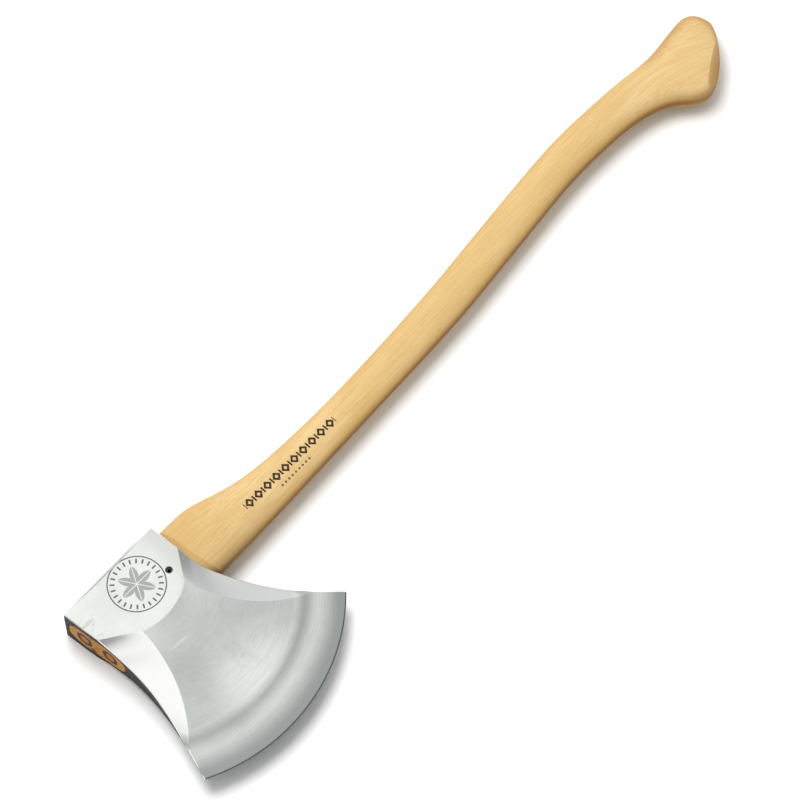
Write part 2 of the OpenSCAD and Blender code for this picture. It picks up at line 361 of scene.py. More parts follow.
def row_below_flat(v):
    """Points across the cheek from one end face to the other, between the edge and the flat."""
    top_rail = rail(TOP_END, TOE.y, FLAT_TOP_Y, v)
    heel_rail = rail(HEEL_END, HEEL.y, FLAT_HEEL_Y, v)
    top = crease(v, TOP_TIP, TOP_KINK, top_crease_x)
    heel = crease(v, HEEL_TIP, HEEL_KINK, heel_crease_x)
    top_h, heel_h = curve(TOP_RISE, top_rail.y), curve(HEEL_RISE, heel_rail.y)
    row = []
    for i in range(CORNER_COLS):
        t = i / CORNER_COLS
        row.append(raised(mix(top_rail, top, t), mix(top_h, cheek_h(top, 0), t)))
    for i in range(MIDDLE_COLS + 1):
        c = i / MIDDLE_COLS
        low = edge_point(mix(TOP_TIP.x, HEEL_TIP.x, c)) - mix(TOP_TIP, HEEL_TIP, c)
        high = flat_point(mix(TOP_KINK.x, HEEL_KINK.x, c)) - mix(TOP_KINK, HEEL_KINK, c)
        p = mix(top, heel, c) + mix(low, high, v)
        h = EDGE_LAND if v <= 0 else FLAT_H if v >= 1 else cheek_h(p, c)
        row.append(raised(p, h))
    for i in range(1, CORNER_COLS + 1):
        t = i / CORNER_COLS
        row.append(raised(mix(heel, heel_rail, t), mix(cheek_h(heel, 1), heel_h, t)))
    return row


def poll_corner(y):
    """How far an end face is rounded away towards the poll."""
    into = max(0.0, y - (POLL_Y - POLL_CORNER_R))
    return POLL_CORNER_R - half_chord(POLL_CORNER_R, into)


def row_on_flat(w, h):
    """Points across the flat cheek; w is 0 on its boundary and 1 on the poll."""
    ya, yd = mix(FLAT_TOP_Y, POLL_Y, w), mix(FLAT_HEEL_Y, POLL_Y, w)
    a = Vector((curve(TOP_END, ya) + poll_corner(ya), ya))
    b = mix(TOP_KINK, Vector((POLL_X[0], POLL_Y)), w)
    c = mix(HEEL_KINK, Vector((POLL_X[1], POLL_Y)), w)
    d = Vector((curve(HEEL_END, yd) - poll_corner(yd), yd))
    row = [raised(mix(a, b, i / CORNER_COLS), h) for i in range(CORNER_COLS)]
    for i in range(MIDDLE_COLS + 1):
        t = i / MIDDLE_COLS
        f = flat_point(mix(TOP_KINK.x, HEEL_KINK.x, t))
        row.append(raised(mix(f, Vector((mix(POLL_X[0], POLL_X[1], t), POLL_Y)), w), h))
    row += [raised(mix(c, d, i / CORNER_COLS), h) for i in range(1, CORNER_COLS + 1)]
    return row


def with_rims(row):
    """The row with a narrow chamfer added at each end."""
    def rim(end, inner):
        leg = min(RIM, RIM_OF_HEIGHT * end.z)
        inset = mix(end, inner, min(RIM_OF_STEP, leg / (inner - end).length))
        return Vector((end.x, end.y, end.z - leg)), inset

    low_a, inset_a = rim(row[0], row[1])
    low_b, inset_b = rim(row[-1], row[-2])
    return [low_a, inset_a, *row[1:-1], inset_b, low_b]


def head_rows():
    """Rows of the upper cheek from the edge to the poll, and where the flat and chamfer start."""
    rows = [row_below_flat(BEVEL_PART * i / BEVEL_ROWS) for i in range(BEVEL_ROWS + 1)]
    rows += [row_below_flat(mix(BEVEL_PART, 1, i / CHEEK_ROWS)) for i in range(1, CHEEK_ROWS + 1)]
    flat_start = len(rows) - 1
    chamfer_w = 1 - POLL_CHAMFER / (POLL_Y - FLAT_TOP_Y)
    rows += [row_on_flat(chamfer_w * i / FLAT_ROWS, FLAT_H) for i in range(1, FLAT_ROWS + 1)]
    chamfer_start = len(rows) - 1
    for i in range(1, CHAMFER_ROWS + 1):
        t = i / CHAMFER_ROWS
        rows.append(row_on_flat(mix(chamfer_w, 1, t), FLAT_H - POLL_CHAMFER * t))
    return [with_rims(row) for row in rows], flat_start, chamfer_start


def head_slot(i, j, last, flat_start, chamfer_start):
    """Material of the cheek's face in row i and column j."""
    if j == 0 or j == last or i >= chamfer_start:
        return RIM_SLOT
    if i >= flat_start:
        return FLAT
    return BLADE if CORNER_COLS < j < last - CORNER_COLS else HORN


def head_mesh():
    """Points, faces and face materials of the head before its holes are cut."""
    rows, flat_start, chamfer_start = head_rows()
    n, m = len(rows), len(rows[0])
    points = [p for row in rows for p in row]
    points += [Vector((p.x, p.y, -p.z)) for p in points]
    low = n * m
    faces, slots = [], []
    for i in range(n - 1):
        for j in range(m - 1):
            a, b, c, d = i * m + j, i * m + j + 1, (i + 1) * m + j + 1, (i + 1) * m + j
            slot = head_slot(i, j, m - 2, flat_start, chamfer_start)
            faces += [(a, b, c, d), (low + d, low + c, low + b, low + a)]
            slots += [slot, slot]
    edge = [(j, BLADE) for j in range(m - 1)]
    heel = [(i * m + m - 1, FORGED) for i in range(n - 1)]
    poll = [((n - 1) * m + j, FLAT) for j in range(m - 1, 0, -1)]
    top = [(i * m, FORGED) for i in range(n - 1, 0, -1)]
    loop = edge + heel + poll + top
    levels = [[k for k, slot in loop]]
    for level in range(1, WALL_LEVELS):
        t = level / WALL_LEVELS
        start = len(points)
        for k, slot in loop:
            p = points[k]
            where = (p.y * DENT_SCALE_Y, p.z * t * DENT_SCALE_Z, DENT_SLICE)
            dent = noise.noise(where) if slot == FORGED else 0.0
            swell = DENT_DEPTH * 4 * t * (1 - t) * dent * smooth(p.z / DENT_FADE)
            points.append(Vector((p.x + swell, p.y, mix(p.z, -p.z, t))))
        levels.append(list(range(start, len(points))))
    levels.append([low + k for k, slot in loop])
    for upper, under in zip(levels, levels[1:]):
        for k, (_, slot) in enumerate(loop):
            after = (k + 1) % len(loop)
            faces.append((upper[after], upper[k], under[k], under[after]))
            slots.append(slot)
    return points, faces, slots


def eye_point(a, grow):
    """Point of the eye's outline, grown by so much, as (y, z)."""
    y = signed_power(math.cos(a), 2 / EYE_POWER)
    z = signed_power(math.sin(a), 2 / EYE_POWER)
    return (EYE_L / 2 + grow) * y, (EYE_W / 2 + grow) * z * (1 + EYE_EGG * y)


EYE_SIDES = 96
EYE_CHAMFER = 1.0
EYE_CUT_OVER = 6.0


def eye_cutter(slot):
    """A tool that cuts the eye with a chamfer at both of its mouths."""
    def ring(end, depth, grow):
        out = []
        for k in range(EYE_SIDES):
            y, z = eye_point(2 * math.pi * k / EYE_SIDES, grow)
            out.append((curve(end, y) + depth, y, z))
        return out

    rings = [
        ring(TOP_END, -EYE_CUT_OVER, EYE_CHAMFER + EYE_CUT_OVER),
        ring(TOP_END, EYE_CHAMFER, 0),
        ring(HEEL_END, -EYE_CHAMFER, 0),
        ring(HEEL_END, EYE_CUT_OVER, EYE_CHAMFER + EYE_CUT_OVER),
    ]
    return lofted_tool(rings, slot)


PIN_HOLE_SIDES = 48
PIN_HOLE_CHAMFER = 0.4
PIN_CUT_OVER = 1


def pin_cutter(slot, grow, chamfer):
    """A tool that cuts the spring pin's hole, with its mouths broken."""
    r, over = PIN_D / 2 + grow, PIN_CUT_OVER
    profile = [(-FLAT_H - over, r + chamfer + over), (-FLAT_H + chamfer, r)]
    profile += [(FLAT_H - chamfer, r), (FLAT_H + over, r + chamfer + over)]
    turns = [2 * math.pi * k / PIN_HOLE_SIDES for k in range(PIN_HOLE_SIDES)]
    rings = [
        [(PIN_X + radius * math.cos(a), PIN_Y + radius * math.sin(a), z) for a in turns]
        for z, radius in profile
    ]
    return lofted_tool(rings, slot)


def lofted_tool(rings, slot):
    """A closed cutting shape whose cut faces take that material slot."""
    faces, _ = loft(rings)
    points = [p for ring in rings for p in ring]
    return make_piece("tool", points, faces, [slot] * len(faces), [None] * (slot + 1))


def make_head(materials):
    points, faces, slots = head_mesh()
    head = make_piece("head_forging", points, faces, slots, materials)
    cut(head, [eye_cutter(FORGED), pin_cutter(RIM_SLOT, 0, PIN_HOLE_CHAMFER)], sharp=15)
    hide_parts("axe_head")
    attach(head, "root")


# ---- haft ----

HAFT_SIDES = 96
TENON_GAP = 0.04
PIN_GAP = 0.05
FACE_BREAK = 0.35
# Depths of the tenon's rings behind the head's top face and before its heel face
TENON_BEHIND_TOP = (8, 40)
TENON_BEFORE_HEEL = (40, 0.5)

# The haft starts at this x, and its first rings are set in along a band beside the head
HAFT_FROM = 108
SHOULDER_BAND = 5.6
SHOULDER_INSET = 1.8
SHOULDER_RINGS = 6
# Its rings follow the head's curved end face at first, and are straight from here on
STRAIGHT_FROM = 70.0
FOLLOW_ROUNDS = 3
# Distances of its rings past the head
SHOULDER_STATIONS = [0.05, 1.0, 2.0, 3.0, 4.0, 5.0, SHOULDER_BAND, 6.2, 8, 10, 13, 17]
GRIP_STATIONS = [22 + 6.0 * i for i in range(95)]
KNOB_STATIONS = [596 + 2.0 * i for i in range(44)]
# Radius of the knob's rounded end, and the angles of its rings in degrees
END_R = 11.0
END_ANGLES = range(9, 90, 9)

KNOB_POWER = 4.2
KNOB_FROM, KNOB_FULL = 712.0, 744.0
KNOB_END = 20
# Two points on the facet's inner line and one further out
KNOB_FACET = ((749, -38, 11.7), (782, -17.2, 12.3), (775, -29.5, 4.2))
FACET_TOOL_FOOT = ((-60, -40), (60, -40), (60, 60), (-60, 60))
FACET_TOOL_H = 30.0

# Material slots of the haft
WOOD, END_GRAIN, PAINTED_SHADE_WOOD = range(3)


def tenon_ring(end, depth, inset):
    """Ring of the tenon, parallel to one of the head's end faces."""
    ring = []
    for k in range(HAFT_SIDES):
        y, z = eye_point(2 * math.pi * k / HAFT_SIDES, -TENON_GAP - inset)
        ring.append((curve(end, y) + depth, y, z))
    return ring


def knob_cutter(side):
    """A block whose lower face shaves a flat facet off one side of the knob's belly corner."""
    a, b, c = (Vector(p) for p in KNOB_FACET)
    along, down = (b - a).normalized(), c - a
    out = down.cross(along).normalized()
    across = out.cross(along)
    corners = []
    for lift in (0.0, FACET_TOOL_H):
        for u, v in FACET_TOOL_FOOT:
            p = a + along * u + across * v + out * lift
            corners.append((p.x, p.y, p.z * side))
    faces, _ = loft([corners[:4], corners[4:]])
    if side < 0:
        faces = [tuple(reversed(face)) for face in faces]
    return make_piece("tool", corners, faces, [PAINTED_SHADE_WOOD] * len(faces), [None] * (PAINTED_SHADE_WOOD + 1))


def haft_ring(s, inset):
    """Ring of the haft at s past the head; the first rings follow the head's curved end face."""
    ring = []
    for k in range(HAFT_SIDES):
        a = 2 * math.pi * k / HAFT_SIDES
        x = HAFT_FROM + s
        for _ in range(FOLLOW_ROUNDS):
            hi, lo, side = curve(HAFT_BACK, x), curve(HAFT_BELLY, x), curve(HAFT_SIDE, x)
            knob = smooth((x - KNOB_FROM) / (KNOB_FULL - KNOB_FROM))
            knob *= smooth((HAFT_L - x) / KNOB_END)
            power = mix(HAFT_POWER, KNOB_POWER, knob) if math.cos(a) < 0 else HAFT_POWER
            half = (hi - lo) / 2 - inset
            y = (hi + lo) / 2 + half * signed_power(math.cos(a), 2 / power)
            z = (side - inset) * signed_power(math.sin(a), 2 / power)
            x = s + mix(curve(HEEL_END, y), HAFT_FROM, smooth(s / STRAIGHT_FROM))
        ring.append((x, y, z))
    return ring


def haft_stations():
    """Distances past the head of the haft's rings, closest at the shoulder and the knob."""
    end = HAFT_L - HAFT_FROM
    rounded = [end - END_R * math.cos(math.radians(a)) for a in END_ANGLES]
    return SHOULDER_STATIONS + GRIP_STATIONS + KNOB_STATIONS + rounded + [end]


def make_haft(materials):
    rings = [tenon_ring(TOP_END, 0.0, FACE_BREAK), tenon_ring(TOP_END, FACE_BREAK, 0)]
    rings += [tenon_ring(TOP_END, depth, 0) for depth in TENON_BEHIND_TOP]
    rings += [tenon_ring(HEEL_END, -depth, 0) for depth in TENON_BEFORE_HEEL]
    stations = haft_stations()
    for s in stations:
        rings.append(haft_ring(s, SHOULDER_INSET * max(0.0, 1 - s / SHOULDER_BAND)))
    faces, owner = loft(rings)
    band = range(len(rings) - len(stations), len(rings) - len(stations) + SHOULDER_RINGS)
    # The rings of the shoulder band take the wood with painted shade; the knob's facets take it
    # from their tools.
    slots = [END_GRAIN if i < 1 else PAINTED_SHADE_WOOD if i in band else WOOD for i in owner]
    points = [p for ring in rings for p in ring]
    haft = make_piece("haft_wood", points, faces, slots, materials)
    tools = [ring_cutter(RING_Y), ring_cutter(-RING_Y), pin_cutter(WOOD, PIN_GAP, 0)]
    tools += [knob_cutter(1), knob_cutter(-1)]
    cut(haft, tools, sharp=16)
    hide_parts("haft")
    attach(haft, "root")


# ---- wedges and pin ----

RING_SIDES = 96
RING_BREAK = 0.25
RING_GAP = 0.03
RING_CUT_OVER = 3


def ring_points(centre_y, profile):
    """Rings of a tapered oval tube in the tenon, whose face follows the head's end face."""
    rings = []
    for around in turned(profile, RING_SIDES):
        ring = []
        for x, y, z in around:
            y, z = y + centre_y, z + math.copysign(RING_STRETCH / 2, z)
            ring.append((curve(TOP_END, y) + x, y, z))
        rings.append(ring)
    return rings


def tube_faces(rings):
    """Faces of a tube made of closed profiles, one after the other round its axis."""
    n, m = len(rings), len(rings[0])
    faces = []
    for i in range(n):
        a, b = i * m, ((i + 1) % n) * m
        for j in range(m):
            k = (j + 1) % m
            faces.append((a + j, b + j, b + k, a + k))
    return faces


def ring_cutter(centre_y):
    """A tool that cuts the groove of a ring wedge into the tenon's end."""
    inner, outer = RING_D / 2 - RING_WALL - RING_GAP, RING_D / 2 + RING_GAP
    profile = [(-RING_CUT_OVER, inner), (-RING_CUT_OVER, outer), (RING_STRAIGHT, outer)]
    profile += [(RING_L, inner + RING_TIP + 2 * RING_GAP), (RING_L, inner)]
    rings = ring_points(centre_y, profile)
    points = [p for ring in rings for p in ring]
    faces = tube_faces(rings)
    slots, materials = [END_GRAIN] * len(faces), [None] * (END_GRAIN + 1)
    return make_piece("tool", points, faces, slots, materials)


def make_ring_wedge(name, node, centre_y, material):
    """Ring wedge with its driven rims broken, flush with the head."""
    r, inner, b = RING_D / 2, RING_D / 2 - RING_WALL, RING_BREAK
    profile = [(b, inner), (0.0, inner + b), (0.0, r - b), (b, r), (RING_STRAIGHT, r)]
    profile += [(RING_L, inner + RING_TIP), (RING_L, inner)]
    rings = ring_points(centre_y, profile)
    points = [p for ring in rings for p in ring]
    faces = tube_faces(rings)
    piece = make_piece(name, points, faces, [0] * len(faces), [material])
    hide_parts(node)
    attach(piece, "root")


PIN_SIDES = 60
PIN_CHAMFER = 0.6
PIN_SHRINK = 0.03


def make_pin(material):
    """Rolled pin: a tube with an open slot along it and chamfered ends."""
    outer, inner = PIN_D / 2 - PIN_SHRINK, PIN_BORE / 2
    end = HEAD_T / 2 - PIN_RECESS
    opening = math.asin(PIN_SLOT / 2 / outer)
    profile = [(end, inner), (end, outer - PIN_CHAMFER), (end - PIN_CHAMFER, outer)]
    profile += [(-end + PIN_CHAMFER, outer), (-end, outer - PIN_CHAMFER), (-end, inner)]
    rings = []
    for k in range(PIN_SIDES + 1):
        a = mix(opening, 2 * math.pi - opening, k / PIN_SIDES)
        rings.append([(PIN_X + r * math.cos(a), PIN_Y + r * math.sin(a), z) for z, r in profile])
    faces, _ = loft(rings)
    points = [p for ring in rings for p in ring]
    pin = make_piece("rolled_pin", points, faces, [0] * len(faces), [material])
    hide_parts("spring_pin")
    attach(pin, "root")


# ---- materials ----

class Num:
    """A number inside a material's nodes, which adds and multiplies as Python numbers do."""

    def __init__(self, nodes, socket):
        self.nodes = nodes
        self.socket = socket

    def _math(self, operation, *values):
        return self.nodes.math(operation, *values)

    def __add__(self, other):
        return self._math("ADD", self, other)

    def __radd__(self, other):
        return self._math("ADD", other, self)

    def __sub__(self, other):
        return self._math("SUBTRACT", self, other)

    def __rsub__(self, other):
        return self._math("SUBTRACT", other, self)

    def __mul__(self, other):
        return self._math("MULTIPLY", self, other)

    def __truediv__(self, other):
        return self._math("DIVIDE", self, other)

    def abs(self):
        return self._math("ABSOLUTE", self)

    def root(self):
        return self._math("SQRT", self)

    def sin(self):
        return self._math("SINE", self)

    def cos(self):
        return self._math("COSINE", self)

    def max(self, other):
        return self._math("MAXIMUM", self, other)

    def wrap(self, period):
        """The distance from the nearest multiple of period, with its sign."""
        return self._math("WRAP", self, period / 2, -period / 2)

    def rise(self, low, high):
        """0 below low, 1 above high, and a smooth step between; it falls if low > high."""
        if low > high:
            return 1 - self.rise(high, low)
        node = self.nodes.add("ShaderNodeMapRange", interpolation_type="SMOOTHSTEP")
        self.nodes.put(node.inputs["Value"], self)
        self.nodes.put(node.inputs["From Min"], low)
        self.nodes.put(node.inputs["From Max"], high)
        return Num(self.nodes, node.outputs["Result"])

    def within(self, centre, half, soft):
        """1 within half of the centre and 0 outside, with a soft boundary."""
        return (self - centre).abs().rise(half + soft, half - soft)


class Nodes:
    """Short calls for building a node tree."""

    def __init__(self, tree):
        self.tree = tree
        tree.nodes.clear()

    def add(self, kind, **settings):
        node = self.tree.nodes.new(kind)
        for key, value in settings.items():
            setattr(node, key, value)
        return node

    def put(self, socket, value):
        """Links or sets one input; a tuple is a colour."""
        if isinstance(value, Num):
            self.tree.links.new(value.socket, socket)
        elif isinstance(value, bpy.types.NodeSocket):
            self.tree.links.new(value, socket)
        else:
            socket.default_value = (*value, 1) if isinstance(value, tuple) else value

    def math(self, operation, *values):
        node = self.add("ShaderNodeMath", operation=operation)
        for socket, value in zip(node.inputs, values):
            self.put(socket, value)
        return Num(self, node.outputs["Value"])

    def vector(self, x, y, z):
        node = self.add("ShaderNodeCombineXYZ")
        for socket, value in zip(node.inputs, (x, y, z)):
            self.put(socket, value)
        return node.outputs["Vector"]

    def place(self):
        """The point's x, y and z in the design frame, in millimetres."""
        where = self.add("ShaderNodeTexCoord").outputs["Object"]
        node = self.add("ShaderNodeSeparateXYZ")
        self.put(node.inputs["Vector"], where)
        return [
            (Num(self, socket) - start) / MM
            for socket, start in zip(node.outputs, ORIGIN)
        ]

    def noise(self, x, y, z, scale=1.0, detail=2.0, roughness=0.5, distortion=0.0):
        node = self.add("ShaderNodeTexNoise")
        self.put(node.inputs["Vector"], self.vector(x, y, z))
        self.put(node.inputs["Scale"], scale)
        self.put(node.inputs["Detail"], detail)
        self.put(node.inputs["Roughness"], roughness)
        self.put(node.inputs["Distortion"], distortion)
        return Num(self, node.outputs["Fac"])

    def blend(self, share, a, b):
        node = self.add("ShaderNodeMix", data_type="RGBA")
        self.put(node.inputs["Factor"], share)
        self.put(node.inputs["A"], a)
        self.put(node.inputs["B"], b)
        return node.outputs["Result"]

    def bump(self, height, distance):
        """A bump of that many millimetres."""
        node = self.add("ShaderNodeBump")
        self.put(node.inputs["Height"], height)
        self.put(node.inputs["Distance"], distance * MM)
        self.put(node.inputs["Strength"], 1.0)
        return node.outputs["Normal"]


def new_material(name):
    material = bpy.data.materials.new(name)
    material.use_nodes = True
    return material, Nodes(material.node_tree)


def surface(nodes, **inputs):
    """Ends a material in one principled surface."""
    shader = nodes.add("ShaderNodeBsdfPrincipled")
    names = {"color": "Base Color", "specular": "Specular IOR Level"}
    for key, value in inputs.items():
        nodes.put(shader.inputs[names.get(key, key.capitalize())], value)
    end = nodes.add("ShaderNodeOutputMaterial")
    nodes.put(end.inputs["Surface"], shader.outputs["BSDF"])


def edge_distance(x, y):
    """Distance behind the cutting edge, in millimetres."""
    u, w = x - EDGE_C.x, y - EDGE_C.y
    return EDGE_R - (u * u + w * w).root()


MARK_X, MARK_Y = 60.5, 8.3
MARK_R = 25.0
MARK_LINE = 0.55
TICKS = 24
TICK_R = 20.8
TICK_HALF_L = 2.1
TICK_HALF_W = 0.75
PETALS = 6
PETAL_R = 17.0
PETAL_SLIM = 0.6
# Width over which the mark's outlines fade
MARK_SOFT = 0.15


def rosette(nodes, x, y):
    """Etched six-petalled rosette in a ring, with a round of small ticks."""
    u, w = x - MARK_X, y - MARK_Y
    r = (u * u + w * w).root()
    angle = nodes.math("ARCTAN2", w, u)
    ring = r.within(MARK_R, MARK_LINE, MARK_SOFT)
    ticks = (angle.wrap(2 * math.pi / TICKS) * r).within(0, TICK_HALF_W, MARK_SOFT)
    ticks = ticks * r.within(TICK_R, TICK_HALF_L, MARK_SOFT)
    fold = angle.wrap(2 * math.pi / PETALS)
    along, across = r * fold.cos(), (r * fold.sin()).abs() * PETAL_SLIM
    off_x, off_y = along - PETAL_R / 2, across + PETAL_R * math.sqrt(3) / 2
    petals = (off_x * off_x + off_y * off_y).root().rise(PETAL_R + 0.12, PETAL_R - 0.12)
    veins = across.rise(0.1, 0.35)
    return ring.max(ticks).max(petals * veins * 0.55)


def flat_steel():
    """Finely ground flat of the cheek, with the etched rosette on the upper side, and painted
    shade towards the haft.
    """
    material, n = new_material("ground_flat_steel")
    x, y, z = n.place()
    lines = n.noise(x * 0.05, y * 3.2, z * 0.3, detail=3, roughness=0.7)
    cloud = n.noise(x, y, z, scale=0.035, detail=3)
    smudge = n.noise(x * 0.12, y * 0.3, z * 0.1, detail=4, distortion=0.6).rise(0.5, 0.66)
    smudge = smudge * x.rise(22, 8) * y.within(9, 12, 6)
    mark = rosette(n, x, y) * z.rise(20, 22)
    tone = n.blend(cloud.rise(0.3, 0.7), (0.76, 0.775, 0.75), (0.83, 0.84, 0.82))
    # Painted shade: the flat is darker towards its heel end beside the haft.
    tone = n.blend(x.rise(80, 102) * 0.5, tone, (0.56, 0.57, 0.55))
    tone = n.blend(smudge * 0.42, tone, (0.42, 0.41, 0.38))
    tone = n.blend(mark * 0.9, tone, (0.20, 0.205, 0.20))
    rough = 0.34 + lines * 0.1 + mark * 0.25
    surface(n, color=tone, metallic=1.0, roughness=rough, normal=n.bump(lines, 0.012))
    return material


def horn_steel():
    """Bright ground facets beside the blade's middle, with painted shade on the heel-side facet.
    """
    material, n = new_material("polished_horn_steel")
    x, y, z = n.place()
    lines = n.noise(x * 2.6, y * 0.06, z * 0.3, detail=3, roughness=0.7)
    cloud = n.noise(x, y, z, scale=0.04, detail=2)
    tone = n.blend(cloud.rise(0.3, 0.7), (0.86, 0.868, 0.862), (0.91, 0.916, 0.91))
    # Painted shade: the facet on the heel side is darker.
    tone = n.blend(x.rise(60, 90) * 0.9, tone, (0.72, 0.74, 0.735))
    surface(n, color=tone, metallic=1.0, roughness=0.3 + lines * 0.08, normal=n.bump(lines, 0.01))
    return material


# Middle and direction of the faint scratch across the cheek, whose glint is a painted highlight
STREAK_AT = (48, -52.6)
STREAK_TURN = math.radians(-3.5)
# Middle of the painted highlight, a bright patch on the cheek
HIGHLIGHT_PATCH_AT = (76.0, -111.0)
# Distance behind the edge, half width and softness of the painted shade on the shoulder and of
# the painted highlight on the ridge
SHOULDER_SHADE_BAND = (35, 1.5, 8)
RIDGE_HIGHLIGHT = (23, 2, 6)
# Spacing of the bevel's grinding lines
LINE_STEP = 1.9


def blade_steel():
    """Satin middle of the blade, ground along the edge, with the bevel's fine rounds, and painted
    highlights and painted shade that stand in for its reflections.
    """
    material, n = new_material("satin_blade_steel")
    x, y, z = n.place()
    behind = edge_distance(x, y)
    angle = n.math("ARCTAN2", y - EDGE_C.y, x - EDGE_C.x)
    rounds = n.noise(behind * 1.4, angle * 6, z * 0.1, detail=3, roughness=0.75)
    cloud = n.noise(x, y, z, scale=0.022, detail=5, roughness=0.66)
    # Painted highlight: a bright patch in the middle of the cheek.
    u, w = x - HIGHLIGHT_PATCH_AT[0], y - HIGHLIGHT_PATCH_AT[1]
    painted_highlight_patch = (u * u + w * w * 1.4).root().rise(56, 8) * cloud.rise(0.25, 0.6)
    # Painted highlight: the blade is lighter along the flat's curved boundary.
    a, b = x - FLAT_C.x, y - FLAT_C.y
    painted_highlight_by_flat = (a * a + b * b).root().rise(FLAT_R + 45, FLAT_R + 4)
    # A faint scratch, drawn as a painted highlight.
    u, w = x - STREAK_AT[0], y - STREAK_AT[1]
    along = u * math.cos(STREAK_TURN) + w * math.sin(STREAK_TURN)
    off = w * math.cos(STREAK_TURN) - u * math.sin(STREAK_TURN)
    scratch_highlight = off.within(0, 0.9, 0.9) * along.within(0, 9, 6) * rounds.rise(0.25, 0.55)
    # Painted shade in a band on the shoulder, and a painted highlight on the ridge nearer the
    # edge.
    dark = behind.within(*SHOULDER_SHADE_BAND)
    painted_ridge_highlight = behind.within(*RIDGE_HIGHLIGHT)
    # Painted shade: the bevel is darker; the grinding lines below are its real ground finish.
    bevel = behind.rise(20, 5)
    tone = n.blend(cloud.rise(0.25, 0.75), (0.575, 0.60, 0.585), (0.68, 0.70, 0.68))
    tone = n.blend(painted_highlight_patch * 0.85, tone, (0.86, 0.88, 0.85))
    tone = n.blend(painted_highlight_by_flat * 0.75, tone, (0.80, 0.82, 0.80))
    tone = n.blend(scratch_highlight * 0.8, tone, (0.95, 0.96, 0.94))
    tone = n.blend(dark * 0.9, tone, (0.38, 0.40, 0.39))
    tone = n.blend(painted_ridge_highlight * 0.7, tone, (0.80, 0.83, 0.825))
    tone = n.blend(bevel * 0.9, tone, (0.33, 0.35, 0.345))
    lines = (behind * (2 * math.pi / LINE_STEP) + rounds * 5).sin() * 0.5 + 0.5
    tone = n.blend(lines * behind.rise(40, 20) * 0.22, tone, (0.30, 0.33, 0.325))
    tone = n.blend(rounds.rise(0.3, 0.7) * 0.24, tone, (0.37, 0.39, 0.39))
    # Painted reflection: a dark line along the last millimetre of the edge.
    tone = n.blend(behind.rise(1.4, 0.8) * 0.85, tone, (0.05, 0.065, 0.065))
    rough = 0.36 + rounds * 0.12
    surface(n, color=tone, metallic=1.0, roughness=rough, normal=n.bump(rounds, 0.02))
    return material


def rim_steel():
    """Bright broken edges."""
    material, n = new_material("bright_edge_steel")
    x, y, z = n.place()
    lines = n.noise(x * 0.8, y * 0.8, z * 2.0, detail=2)
    tone = n.blend(lines, (0.86, 0.87, 0.86), (0.94, 0.94, 0.93))
    surface(n, color=tone, metallic=1.0, roughness=0.32 + lines * 0.1)
    return material


def forged_steel():
    """Dark scale left by forging, on the end faces and in the eye."""
    material, n = new_material("dark_forged_scale")
    x, y, z = n.place()
    grains = n.noise(x, y, z, scale=0.9, detail=5, roughness=0.65)
    cloud = n.noise(x, y, z, scale=0.12, detail=3)
    tone = n.blend(cloud.rise(0.3, 0.7), (0.030, 0.030, 0.032), (0.055, 0.054, 0.052))
    tone = n.blend(grains.rise(0.55, 0.75) * 0.4, tone, (0.09, 0.088, 0.085))
    rough = 0.55 + grains * 0.2
    surface(n, color=tone, specular=0.12, roughness=rough, normal=n.bump(grains, 0.12))
    return material


# The burnt chain of lozenges and the row of small ones: both ends, middle line and number
CHAIN_X, CHAIN_Y, CHAIN_MOTIFS = (175.0, 287.0), -9.5, 10
ROW_X, ROW_Y, ROW_MOTIFS = (210.0, 248.0), -18.5, 9
# Half length and half width of a lozenge in the chain
LOZENGE = (4.4, 4.8)


def motif_place(x, y, ends, middle, motifs):
    """Distances along and across from the nearest motif, the step, and 1 between the ends."""
    step = (ends[1] - ends[0]) / motifs
    u = (x - (ends[0] + step / 2)).wrap(step).abs()
    inside = x.rise(ends[0], ends[0] + 0.1) * x.rise(ends[1], ends[1] - 0.1)
    return u, (y - middle).abs(), step, inside


def burnt_band(x, y):
    """Branded ornament: a chain of lozenges and bars, with a short row of small lozenges."""
    u, w, step, inside = motif_place(x, y, CHAIN_X, CHAIN_Y, CHAIN_MOTIFS)
    size = u / LOZENGE[0] + w / LOZENGE[1]
    lozenge = size.rise(1.03, 0.97) * size.rise(0.36, 0.44)
    bar = u.within(step / 2, 0.8, 0.1) * w.rise(3.1, 2.9)
    chain = lozenge.max(bar) * inside
    u, w, _, inside = motif_place(x, y, ROW_X, ROW_Y, ROW_MOTIFS)
    row = (u + w).rise(1.5, 1.3) * inside
    return chain.max(row * 0.8)


# Where the grain starts to turn down into the knob, and how fast
GRAIN_TURN_X = 690.0
GRAIN_TURN = 0.0032
# Pith of the growth rings, as (y, z), and their width
PITH = (-150, -120)
GROWTH = 3.1


def wood_rings(nodes, x, y, z):
    """Growth rings round a pith far below the haft, a little wavy along the grain."""
    sway = nodes.noise(x * 0.006, y * 0.02, z * 0.02, detail=2) * 22
    fine = nodes.noise(x * 0.02, y * 0.12, z * 0.12, detail=2) * 4
    u, w = y - PITH[0] + sway, z - PITH[1] + fine
    return (u * u + w * w).root() / GROWTH


def grain_place(nodes):
    """The design frame's x, y and z, with y bent so that the grain turns down into the knob."""
    x, y, z = nodes.place()
    past = (x - GRAIN_TURN_X).max(0)
    return x, y + past * past * GRAIN_TURN, z


